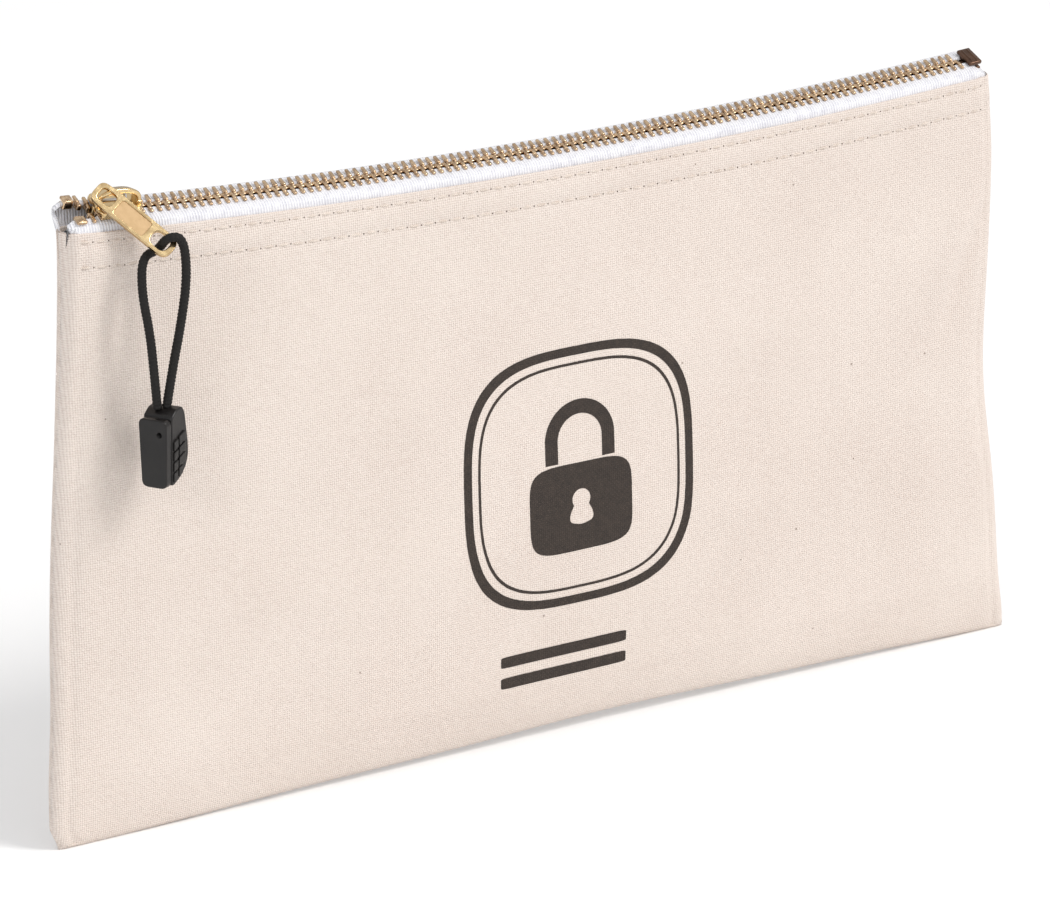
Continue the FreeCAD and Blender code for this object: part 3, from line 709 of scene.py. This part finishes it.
def seam_lips():
    """The turned edges where the two panels meet: a rolled bead down both sides and along the foot."""
    points, faces = [], []
    ring = 12

    def bead(line, depth, width):
        base = len(points)
        for place, centre in enumerate(line):
            ahead = line[min(place + 1, len(line) - 1)] - line[max(place - 1, 0)]
            along = ahead.normalized()
            out = Vector((0, 1, 0)).cross(along).normalized()
            for corner in range(ring):
                angle = 2 * math.pi * corner / ring
                over = Vector((0, math.cos(angle) * depth, 0))
                points.append(centre + over + out * math.sin(angle) * width)
        faces.extend(tube_faces(ring, len(line), base))

    count = 120
    for side in (-1, 1):
        line = []
        for place in range(count):
            z = mix(1.2 * MM, arc_height(side * 0.150, HEM_DROP) - 0.6 * MM, place / (count - 1))
            line.append(Vector((side_edge(z, side) - side * 0.9 * MM, 0, z)))
        bead(line, 1.15 * MM, 0.9 * MM)
    line = []
    for place in range(count * 2):
        x = mix(-HALF_FOOT + 2.0 * MM, HALF_FOOT - 2.4 * MM, place / (count * 2 - 1))
        line.append(Vector((x, 0, foot_line(x) + 0.9 * MM)))
    bead(line, 1.15 * MM, 0.9 * MM)
    # the beads take the darker copy of the canvas: painted shade on the bag's edges
    piece = new_piece("seam_edges", points, faces, SHADED_SEAM_CANVAS)
    return outward(piece)


front_canvas = canvas_panel("canvas_front", -1)
rear_canvas = canvas_panel("canvas_rear", 1)
edges = seam_lips()
for piece, node_name in ((front_canvas, "front_panel"), (rear_canvas, "rear_panel")):
    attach(piece, "bag")
    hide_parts(node_name)
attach(edges, "bag")
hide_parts("left_side_seam", "right_side_seam", "bottom_seam")


# ---------------------------------------------------------------- hem stitches
def capsule(points, faces, start, end, radius, out, ring=8):
    """A stitch: a short rounded thread from start to end that dips into the cloth at its ends."""
    along = (end - start).normalized()
    side = out.cross(along).normalized()
    base = len(points)
    steps = 7
    for step in range(steps):
        part = step / (steps - 1)
        sag = math.sin(math.pi * part)
        thick = radius * (0.35 + 0.65 * sag ** 0.5)
        centre = start.lerp(end, part) + out * radius * (sag * 0.9 - 0.75)
        for corner in range(ring):
            angle = 2 * math.pi * corner / ring
            points.append(centre + out * math.cos(angle) * thick + side * math.sin(angle) * thick)
    faces.extend(tube_faces(ring, steps, base))


def hem_stitches(name, node_name, side, drop):
    points, faces, pits, pit_faces = [], [], [], []
    reach = HALF_FOOT - TOP_INSET - 4.2 * MM
    count = int(2 * reach / STITCH_PITCH)
    for place in range(count):
        middle = (place - (count - 1) / 2) * STITCH_PITCH + rng.uniform(-0.12, 0.12) * MM
        shift = rng.uniform(-0.10, 0.10) * MM
        ends = []
        for x in (middle - STITCH_LONG / 2, middle + STITCH_LONG / 2):
            z = arc_height(x, HEM_DROP + drop + shift)
            ends.append(Vector((x, side * panel_depth(x, z, side), z)))
        out = Vector((0, side, 0))
        capsule(points, faces, ends[0], ends[1], 0.31 * MM, out)
        # a dark dot between two stitches: painted shade of the needle hole
        x = middle + STITCH_PITCH / 2
        z = arc_height(x, HEM_DROP + drop + shift)
        pit, half = Vector((x, side * panel_depth(x, z, side), z)), Vector((0.26 * MM, 0, 0))
        capsule(pits, pit_faces, pit - half, pit + half, 0.22 * MM, out, 6)
    piece = outward(new_piece(name, points, faces, COTTON))
    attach(piece, "bag")
    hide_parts(node_name)
    # the dark dots as one piece: painted shade of the needle holes
    holes = outward(new_piece(name + "_hole_shades", pits, pit_faces, NEEDLE_HOLE_SHADE))
    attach(holes, "bag")


for side, word in ((-1, "front"), (1, "rear")):
    hem_stitches(f"{word}_hem_thread_upper", f"{word}_hem_stitch_upper", side, ROWS_DOWN[0])
    hem_stitches(f"{word}_hem_thread_lower", f"{word}_hem_stitch_lower", side, ROWS_DOWN[1])


def seam_stitches(name, node_name, line):
    """Lockstitches along a seam, hidden between the turned-in edges."""
    points, faces = [], []
    for start, end in line:
        capsule(points, faces, Vector(start), Vector(end), 0.3 * MM, Vector((0, -1, 0)))
    piece = outward(new_piece(name, points, faces, COTTON))
    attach(piece, "bag")
    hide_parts(node_name)


for side, word in ((-1, "left"), (1, "right")):
    heights = [(9.0 + SEAM_PITCH * place) * MM for place in range(34)]
    seam_stitches(f"{word}_side_thread", f"{word}_side_stitch", [
        [(side_edge(z, side) - side * 3.6 * MM, 0, z) for z in (low, low + SEAM_STITCH * MM)]
        for low in heights
    ])
seam_stitches("bottom_thread", "bottom_stitch", [
    [(x, 0, foot_line(x) + 3.8 * MM) for x in (left * MM, (left + SEAM_STITCH) * MM)]
    for left in [-148.0 + SEAM_PITCH * place for place in range(69)]
])


# ---------------------------------------------------------------- the printed mark
PRINT_LIFT = 0.06 * MM
MARK = Vector((4.9, 78.5)) * MM


def on_front(x, z):
    return Vector((x, -panel_depth(x, z, -1) - PRINT_LIFT, z))


def print_strip(points, faces, outer, inner, steps=5, closed=True):
    """Ink between two outlines of the same count, lying on the front panel."""
    base, count = len(points), len(outer)
    for step in range(steps + 1):
        part = step / steps
        for (x0, z0), (x1, z1) in zip(outer, inner):
            x, z = mix(x0, x1, part), mix(z0, z1, part)
            rough = 0.05 * MM if step in (0, steps) else 0.0
            x += rough * noise.noise(Vector((x * 1900, z * 1900, 1.0)))
            z += rough * noise.noise(Vector((x * 1900, z * 1900, 8.0)))
            points.append(on_front(x, z))
    faces.extend(grid_faces(count, steps + 1, wrap=closed, base=base))


def squircle(centre, half_x, half_z, power=4.0, count=160, shift=0.0):
    outline = []
    for place in range(count):
        angle = 2 * math.pi * place / count + shift
        c, s = math.cos(angle), math.sin(angle)
        reach = (abs(c) ** power + abs(s) ** power) ** (-1 / power)
        outline.append((centre[0] + half_x * c * reach, centre[1] + half_z * s * reach))
    return outline


def printed_mark():
    points, faces = [], []
    cx, cz = MARK
    for outer, inner, steps in ((38, 35.4, 5), (33.4, 32.6, 2)):
        rims = [squircle(MARK, reach * MM, reach * MM, 3.2, 220) for reach in (outer, inner)]
        print_strip(points, faces, *rims, steps)
    # the padlock: its body with a keyhole left clear, and its shackle
    body = (cx, cz - 9 * MM)
    hole = []
    outer = squircle(body, 17 * MM, 13 * MM, 5.0, 120, math.pi / 2)
    for place in range(120):
        angle = 2 * math.pi * place / 120 + math.pi / 2
        reach = 3.0 * MM
        if math.sin(angle) < -0.55:
            reach = 3.0 * MM + 4.4 * MM * smooth(-math.sin(angle), 0.55, 0.9)
        hole.append((body[0] + reach * math.cos(angle), body[1] + 2.2 * MM + reach * math.sin(angle)))
    print_strip(points, faces, outer, hole, 14)
    wide, thick, legs = 11.5 * MM, 4.2 * MM, 7.0 * MM
    outside, inside = [], []
    for place in range(61):
        angle = math.pi * place / 60
        for outline, reach in ((outside, wide), (inside, wide - thick)):
            outline.append((cx + reach * math.cos(angle), cz + 4 * MM + legs + reach * math.sin(angle)))
    outside = [(cx + wide, cz + (4.6 + step) * MM) for step in range(0, 6)] + outside
    inside = [(cx + wide - thick, cz + (4.6 + step) * MM) for step in range(0, 6)] + inside
    outside += [(cx - wide, cz + (4.6 + step) * MM) for step in range(5, -1, -1)]
    inside += [(cx - wide + thick, cz + (4.6 + step) * MM) for step in range(5, -1, -1)]
    print_strip(points, faces, outside, inside, 5, closed=False)
    # two plain bars under the frame
    for middle, half in ((27.0, 21.0), (20.6, 21.0)):
        outline = squircle((cx - 5.4 * MM, middle * MM), half * MM, 1.7 * MM, 14.0, 200)
        upper = [point for point in outline if point[1] >= middle * MM]
        upper.sort()
        lower = [(x, 2 * middle * MM - z) for x, z in upper]
        print_strip(points, faces, upper, lower, 5, closed=False)
    piece = new_piece("printed_mark", points, faces, INK)
    for face in piece.data.polygons:
        if face.normal.y > 0:
            face.flip()
    piece.data.update()
    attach(piece, "bag")


printed_mark()


# ---------------------------------------------------------------- zip: tapes, rows and stops
SLIDER_X = -132.0 * MM
ZIP_LEFT, ZIP_RIGHT, PITCH = -141.5 * MM, 144.0 * MM, 2.54 * MM
CHAIN_TILT = math.radians(24)                 # the chain leans towards the front


def along_arc(x):
    return Matrix.Translation((x, 0, arc_height(x))) @ Matrix.Rotation(-math.asin(x / ARC_RADIUS), 4, "Y")


def place_on_chain(x):
    return along_arc(x) @ Matrix.Rotation(CHAIN_TILT, 4, "X")


def parting(x, side):
    """How far a row stands out, and how far it droops, left of the slider's throat."""
    throat, mouth = SLIDER_X + 1.0 * MM, SLIDER_X - 5.0 * MM
    if x >= throat:
        return 0.0, 0.0
    near = smooth(throat - x, 0, throat - mouth) * 1.2 * MM
    far = smooth(mouth - x, 0, mouth - ZIP_LEFT) * (1.2 * MM)
    droop = (-0.3 if side < 0 else -0.4) * smooth(mouth - x, 0, 7 * MM) * MM
    return near + far, droop


def zip_tape(side, word):
    """A ribbed woven strip: its corded edge under the teeth, flat across, then down inside the hem."""
    points = []
    along = 340
    lean = side * math.sin(CHAIN_TILT)
    for place in range(along):
        x = mix(-147.6 * MM, 148.6 * MM, place / (along - 1))
        out, droop = parting(x, side)
        inner, droop = 1.25 + out / MM, droop / MM
        frayed = 0.12 * noise.noise(Vector((x * 700, side, 2.0)))
        tucked = 1.6 * smooth(abs(x), 145.0 * MM, 148.6 * MM)
        # millimetres from the middle, millimetres over the level tape, and the share of the chain's lean
        profile = [
            (inner + 0.5, -0.60 - droop, 1), (inner + 0.1, -0.5 - droop, 1), (inner - 0.1, -droop, 1),
            (inner + 0.1, 0.50 - droop, 1), (inner + 0.55, 0.52 - droop, 1), (inner + 0.95, 0.28 - droop, 1),
            (mix(inner, 5.4, 0.75), 0.16 - droop, 1), (5.0, -0.04 - 0.8 * droop + frayed, 1),
            (5.5, -0.6 - 0.8 * droop, 1), (5.72, -1.8 - 0.6 * droop, 0.9), (5.74, -4.4, 0.6),
            (5.6, -8.0, 0.2), (5.4, -12.0, 0), (4.9, -12.0, 0), (5.1, -8.0, 0.2), (5.2, -4.4, 0.6),
            (5.15, -2.0 - 0.6 * droop, 0.9), (4.9, -1.0 - 0.8 * droop, 1),
            (mix(inner, 5.4, 0.65), -0.34 - droop, 1), (inner + 1.0, -0.28 - droop, 1),
        ]
        turn = along_arc(x)
        for y, z, share in profile:
            point = turn @ (Vector((0, side * y, z + lean * y * share * 0.98 - tucked)) * MM)
            # inside the hem the strip stays behind the canvas, outer face and inner face alike
            if point.z < arc_height(point.x, HEM_DROP) + 0.8 * MM and y > 4.5:
                room = panel_depth(point.x, point.z, side) - (0.9 + 5.74 - y) * MM
                point.y = side * min(y * MM, max(room, 0.2 * MM))
            points.append(point)
    piece = outward(new_piece(f"{word}_tape", points, tube_faces(len(profile), along), TAPE))
    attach(piece, "bag")
    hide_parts(f"{word}_zip_tape")


def tooth_row(side, word, shift):
    """Die-cut teeth: a body clamped over the tape's cord, and a head with a waist that crosses the middle."""
    made = bmesh.new()
    count = int((ZIP_RIGHT - ZIP_LEFT) / PITCH)
    for place in range(count):
        x = ZIP_LEFT + (place + shift) * PITCH
        out, droop = parting(x, side)
        matrix = place_on_chain(x) @ Matrix.Translation((0, side * out, -droop))
        if side < 0:
            matrix = matrix @ Matrix.Scale(-1, 4, (0, 1, 0))
        matrix = matrix @ Matrix.Rotation(math.radians(rng.uniform(-1.6, 1.6)), 4, "Z")
        rounded_box(made, (-0.52, 0.75, -1.20), (0.52, 2.4, 1.20), 0.22, matrix)
        rounded_box(made, (-0.62, -0.72, -0.86), (0.62, 0.50, 0.86), 0.28, matrix)
        rounded_box(made, (-0.40, 0.20, -0.95), (0.40, 1.05, 0.95), 0.16, matrix)
        for low, high in ((0.42, 1.18), (-1.18, -0.42)):
            rounded_box(made, (-0.50, 2.1, low), (0.50, 3.6, high), 0.24, matrix)
    bmesh.ops.recalc_face_normals(made, faces=made.faces)
    piece = from_bmesh(f"{word}_tooth_row", made, TEETH_BRASS)
    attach(piece, "bag")
    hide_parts(f"{word}_teeth")


def top_stop(side, word):
    made = bmesh.new()
    x = ZIP_LEFT - 2.6 * MM
    out, droop = parting(x, side)
    matrix = place_on_chain(x) @ Matrix.Translation((0, side * out, -droop))
    if side < 0:
        matrix = matrix @ Matrix.Scale(-1, 4, (0, 1, 0))
    rounded_box(made, (-1.5, 0.7, 0.35), (1.5, 3.7, 1.35), 0.36, matrix, 3)
    rounded_box(made, (-1.5, 0.7, -1.35), (1.5, 3.7, -0.35), 0.36, matrix, 3)
    rounded_box(made, (-1.4, 0.6, -1.2), (1.4, 1.6, 1.2), 0.4, matrix, 3)
    rounded_box(made, (-0.35, 0.9, 1.1), (0.35, 3.4, 1.5), 0.18, matrix)
    bmesh.ops.recalc_face_normals(made, faces=made.faces)
    piece = from_bmesh(f"{word}_stop", made, TEETH_BRASS)
    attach(piece, "bag")
    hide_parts(f"{word}_top_stop")


def box_stop():
    made = bmesh.new()
    matrix = place_on_chain(146.3 * MM)
    rounded_box(made, (-2.2, -3.5, 0.5), (2.2, 3.5, 1.75), 0.42, matrix, 3)
    rounded_box(made, (-2.2, -3.5, -1.7), (2.2, 3.5, -0.4), 0.42, matrix, 3)
    rounded_box(made, (-2.0, -2.0, -1.5), (2.0, 2.0, 1.5), 0.4, matrix, 3)
    for x in (-0.9, 0.9):
        rounded_box(made, (x - 0.3, -3.1, 1.5), (x + 0.3, 3.1, 1.92), 0.18, matrix)
    bmesh.ops.recalc_face_normals(made, faces=made.faces)
    piece = from_bmesh("box_stop", made, STOP_BRASS)
    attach(piece, "bag")
    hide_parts("bottom_stop")


for side, word, shift in ((-1, "front", 0.5), (1, "rear", 0.0)):
    zip_tape(side, word)
    tooth_row(side, word, shift)
    top_stop(side, word)
box_stop()


# ---------------------------------------------------------------- slider
SLIDER = place_on_chain(SLIDER_X)


def slider_plan():
    left, right, wide, narrow = -6.75, 6.75, 4.8, 3.8
    corners = [
        (left + 0.6, -wide), (left + 6, -wide), (right - 3, -narrow), (right, -narrow + 0.3),
        (right, narrow - 0.3), (right - 3, narrow), (left + 6, wide), (left + 0.6, wide),
        (left, 1.3), (left + 1.5, 0.0), (left, -1.3),
    ]
    return rounded_outline(corners, 1.5, 6)


def slider_body():
    parts = [
        plate("slider_top", [slider_plan()], 1.5, 2.6, 0.28, GOLD, SLIDER),
        plate("slider_low", [slider_plan()], -2.6, -1.5, 0.28, GOLD, SLIDER),
    ]
    made = bmesh.new()
    rounded_box(made, (-6.6, -0.6, -1.7), (-2.6, 0.6, 1.7), 0.3, SLIDER)
    parts.append(from_bmesh("post", made, GOLD))
    for side in (-1, 1):
        for low, high in ((0.6, 1.9), (-1.9, -0.6)):
            line = [(-6.0, 4.4), (-3.5, 4.4), (-0.75, 4.4), (1.5, 3.95), (3.75, 3.42), (6.3, 3.4)]
            outline = [(x, side * (y + 0.34)) for x, y in line]
            outline += [(x, side * (y - 0.42)) for x, y in reversed(line)]
            outline = rounded_outline(outline, 0.3, 3)
            parts.append(plate("flange", [outline], low, high, 0.15, GOLD, SLIDER, 2))
    # the two lugs that hold the crown
    made = bmesh.new()
    for x in (-6.1, 6.1):
        rounded_box(made, (x - 0.75, -1.9, 2.2), (x + 0.75, 1.9, 3.5), 0.3, SLIDER, 3)
    parts.append(from_bmesh("lugs", made, GOLD))
    piece = crisp(joined("slider_plates", parts), [(SLIDER.col[2].xyz, FLAT)])
    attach(piece, "slider")
    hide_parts("slider_body")


def slider_crown():
    """A broad bent band, flat over its top, that the tab's head hooks round."""
    line = []
    for place in range(61):
        angle = math.pi * (1 - place / 60)
        c, s = math.cos(angle), math.sin(angle)
        reach = (abs(c) ** 2.6 + abs(s) ** 2.6) ** (-1 / 2.6)
        line.append(SLIDER @ Vector((6.05 * MM * c * reach, 0, (2.35 + 4.0 * s * reach) * MM)))
    section = rounded_outline([(-1.75, -0.62), (1.75, -0.62), (1.75, 0.62), (-1.75, 0.62)], 0.42, 4)
    piece = swept("crown_band", line, section, (0, 1, 0), GOLD)
    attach(piece, "slider")
    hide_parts("slider_crown")


slider_body()
slider_crown()


# ---------------------------------------------------------------- pull tab
TAB_START = Vector((-138.1, -3.0, 182.3)) * MM
TAB_END = Vector((-124.6, -17.0, 166.9)) * MM
TAB = placed(TAB_END - TAB_START, (-0.2, -0.9, 0.66), TAB_START)


def pull_tab():
    long, half = 25.6, 3.4
    outer = rounded_outline([
        (-0.6, -half + 0.5), (3.5, -half), (long, -half + 0.1),
        (long, half - 0.1), (3.5, half), (-0.6, half - 0.5),
    ], 3.0, 10)
    ring = rounded_outline([(0.9, -1.95), (5.6, -2.05), (5.6, 2.05), (0.9, 1.95)], 1.2)
    recess = rounded_outline([(7.0, -2.4), (16.9, -2.4), (16.9, 2.4), (7.0, 2.4)], 0.8)
    hole = rounded_outline([(18.7, -2.25), (24.0, -2.25), (24.0, 2.25), (18.7, 2.25)], 2.1, 10)
    rim = plate("tab_rim", [outer, ring, recess, hole], -0.75, 0.75, 0.26, GOLD, TAB, 4)
    web_plan = rounded_outline([(6.6, -2.8), (17.3, -2.8), (17.3, 2.8), (6.6, 2.8)], 0.8)
    # the web at the bottom of the recess takes the darker brass: painted shade
    web = plate("tab_web", [web_plan], -0.42, 0.42, 0.02, SHADED_RECESS_GOLD, TAB, 1)
    piece = crisp(joined("tab_plate", [rim, web]), [(TAB.col[2].xyz, FLAT)])
    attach(piece, "tab")
    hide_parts("pull_tab")


pull_tab()


# ---------------------------------------------------------------- cord
CORD_ROUTE = (
    (-130.9, -17.6, 124.6), (-131.2, -17.4, 133.3), (-131.4, -16.4, 145.2),
    (-132.5, -14.9, 156.1), (-130.9, -12.9, 165.2), (-126.1, -13.1, 166.3),
    (-125.8, -17.8, 170.7), (-121.2, -18.4, 170.2), (-120.9, -18.9, 159.5),
    (-123.4, -19.0, 147.2), (-126.4, -18.6, 135.1), (-128.4, -18.0, 124.6),
)
CORD_LENGTH, CORD_THICK = 0.1015, 2.5 * MM
CORD_STEP = 0.2 * MM                          # between two rings of the cord's mesh


def cord_line():
    """Evenly spaced points along the NURBS line through the cord's route."""
    curve = bpy.data.curves.new("cord_line", "CURVE")
    curve.dimensions = "3D"
    spline = curve.splines.new("NURBS")
    spline.points.add(len(CORD_ROUTE) - 1)
    for point, place in zip(spline.points, CORD_ROUTE):
        point.co = (*(value * MM for value in place), 1)
    spline.order_u = 3
    spline.use_endpoint_u = True
    spline.resolution_u = 24
    helper = add_object("cord_line", curve)
    mesh = evaluated_mesh(helper)
    raw = [vertex.co.copy() for vertex in mesh.vertices]
    bpy.data.objects.remove(helper)
    bpy.data.meshes.remove(mesh)
    line, carry = [raw[0]], 0.0
    for first, second in zip(raw, raw[1:]):
        gap = (second - first).length
        reach = CORD_STEP - carry
        while reach <= gap:
            line.append(first.lerp(second, reach / gap))
            reach += CORD_STEP
        carry = gap - (reach - CORD_STEP)
    return line


def braided_cord():
    line = cord_line()
    ring, radius = 24, CORD_THICK / 2
    points = []
    along = (line[1] - line[0]).normalized()
    side = along.orthogonal().normalized()
    lay = math.pi / (1.0 * MM)
    for place, centre in enumerate(line):
        following = line[min(place + 1, len(line) - 1)] - line[max(place - 1, 0)]
        following.normalize()
        side = (side - following * side.dot(following)).normalized()
        other = following.cross(side)
        run = place * CORD_STEP * lay
        for corner in range(ring):
            angle = 2 * math.pi * corner / ring
            weave = run + 0.5 * math.cos(2 * angle)
            ridge = abs(math.sin(weave)) ** 0.7
            out = radius * (0.86 + 0.15 * ridge + 0.02 * math.cos(8 * angle))
            points.append(centre + (side * math.cos(angle) + other * math.sin(angle)) * out)
    piece = outward(new_piece("braided_cord", points, tube_faces(ring, len(line)), BRAID))
    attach(piece, "cord")
    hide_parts("pull_cord")


braided_cord()


# ---------------------------------------------------------------- grip
GRIP = placed((-0.02, 0.0, -1.0), (-0.87, -0.49, 0.0), Vector((-129.5, -17.8, 124.2)) * MM)
# local X runs down the grip, local Z out of its covered face, local Y across
GRIP_LONG = 20.4 * MM


def grip_width(x):
    """Half the grip's width across: full at the shoulders, a little less at the foot."""
    return 4.5 * MM * (1 - 0.10 * smooth(x, 8 * MM, GRIP_LONG))


def grip():
    side = [
        (1.35, 2.62), (GRIP_LONG / MM - 0.5, 2.62), (GRIP_LONG / MM - 0.4, 1.4), (18.6, -1.6), (16.2, -4.2),
        (13.2, -5.3), (9.4, -5.1), (1.0, -3.9), (-0.9, -2.8), (-0.5, 0.2),
    ]
    outline = rounded_outline(side, 1.0)
    body = plate("grip_shell", [outline], -4.5, 4.5, 0.45, PLASTIC, Matrix.Identity(4), 4)
    for vertex in body.data.vertices:
        x, z, y = vertex.co
        vertex.co = GRIP @ Vector((x, -y * grip_width(x) / (4.5 * MM), z))
    body.data.update()
    face = [(1.5, -4.5), (GRIP_LONG / MM, -3.9), (GRIP_LONG / MM, 3.9), (1.5, 4.5)]
    corners = rounded_outline(face, 2.0)
    cover = plate("grip_cover", [corners], 2.70, 5.2, 0.42, PLASTIC, GRIP, 4)
    cutter_mesh = bmesh.new()
    bmesh.ops.create_cone(
        cutter_mesh, cap_ends=True, segments=32, radius1=0.85 * MM, radius2=0.85 * MM, depth=3.0 * MM,
        matrix=GRIP @ Matrix.Translation((5.6 * MM, 2.1 * MM, 5.2 * MM)),
    )
    cutter = from_bmesh("cutter", cutter_mesh, PLASTIC)
    cut = cover.modifiers.new("hole", "BOOLEAN")
    cut.operation = "DIFFERENCE"
    cut.solver = "EXACT"
    cut.object = cutter
    apply_modifiers(cover)
    bpy.data.objects.remove(cutter)
    parts = [body]
    for way in (-1, 1):
        for column, (z0, z1) in enumerate(((0.15, 2.1), (-3.3, -0.35))):
            for row in range(4):
                x0 = 7.2 + row * 2.9
                x1 = x0 + 2.4
                if column and row == 3:
                    z0 = -2.2
                corners = [(x + 0.42 * z, z) for x, z in ((x0, z1), (x1, z1), (x1, z0), (x0, z0))]
                outline = rounded_outline(corners, 0.35, 4)
                pad = plate("pad", [outline], -0.4, 0.42, 0.2, PLASTIC, Matrix.Identity(4), 2)
                for vertex in pad.data.vertices:
                    x, z, y = vertex.co
                    vertex.co = GRIP @ Vector((x, way * (grip_width(x) + y), z))
                pad.data.update()
                parts.append(pad)
    body = joined("grip_shell_padded", parts)
    outward(body)
    for piece, node_name in ((body, "grip_body"), (cover, "grip_cap")):
        crisp(piece, [(GRIP.col[1].xyz, 0.99), (GRIP.col[2].xyz, 0.999)])
        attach(piece, "grip")
        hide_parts(node_name)


grip()


# ---------------------------------------------------------------- inner pieces kept from the CAD model
for node_name, finish in (("lock_spring", STEEL), ("cord_knot", BRAID)):
    kept = frame["nodes"][node_name]
    kept.data.materials.clear()
    kept.data.materials.append(finish)
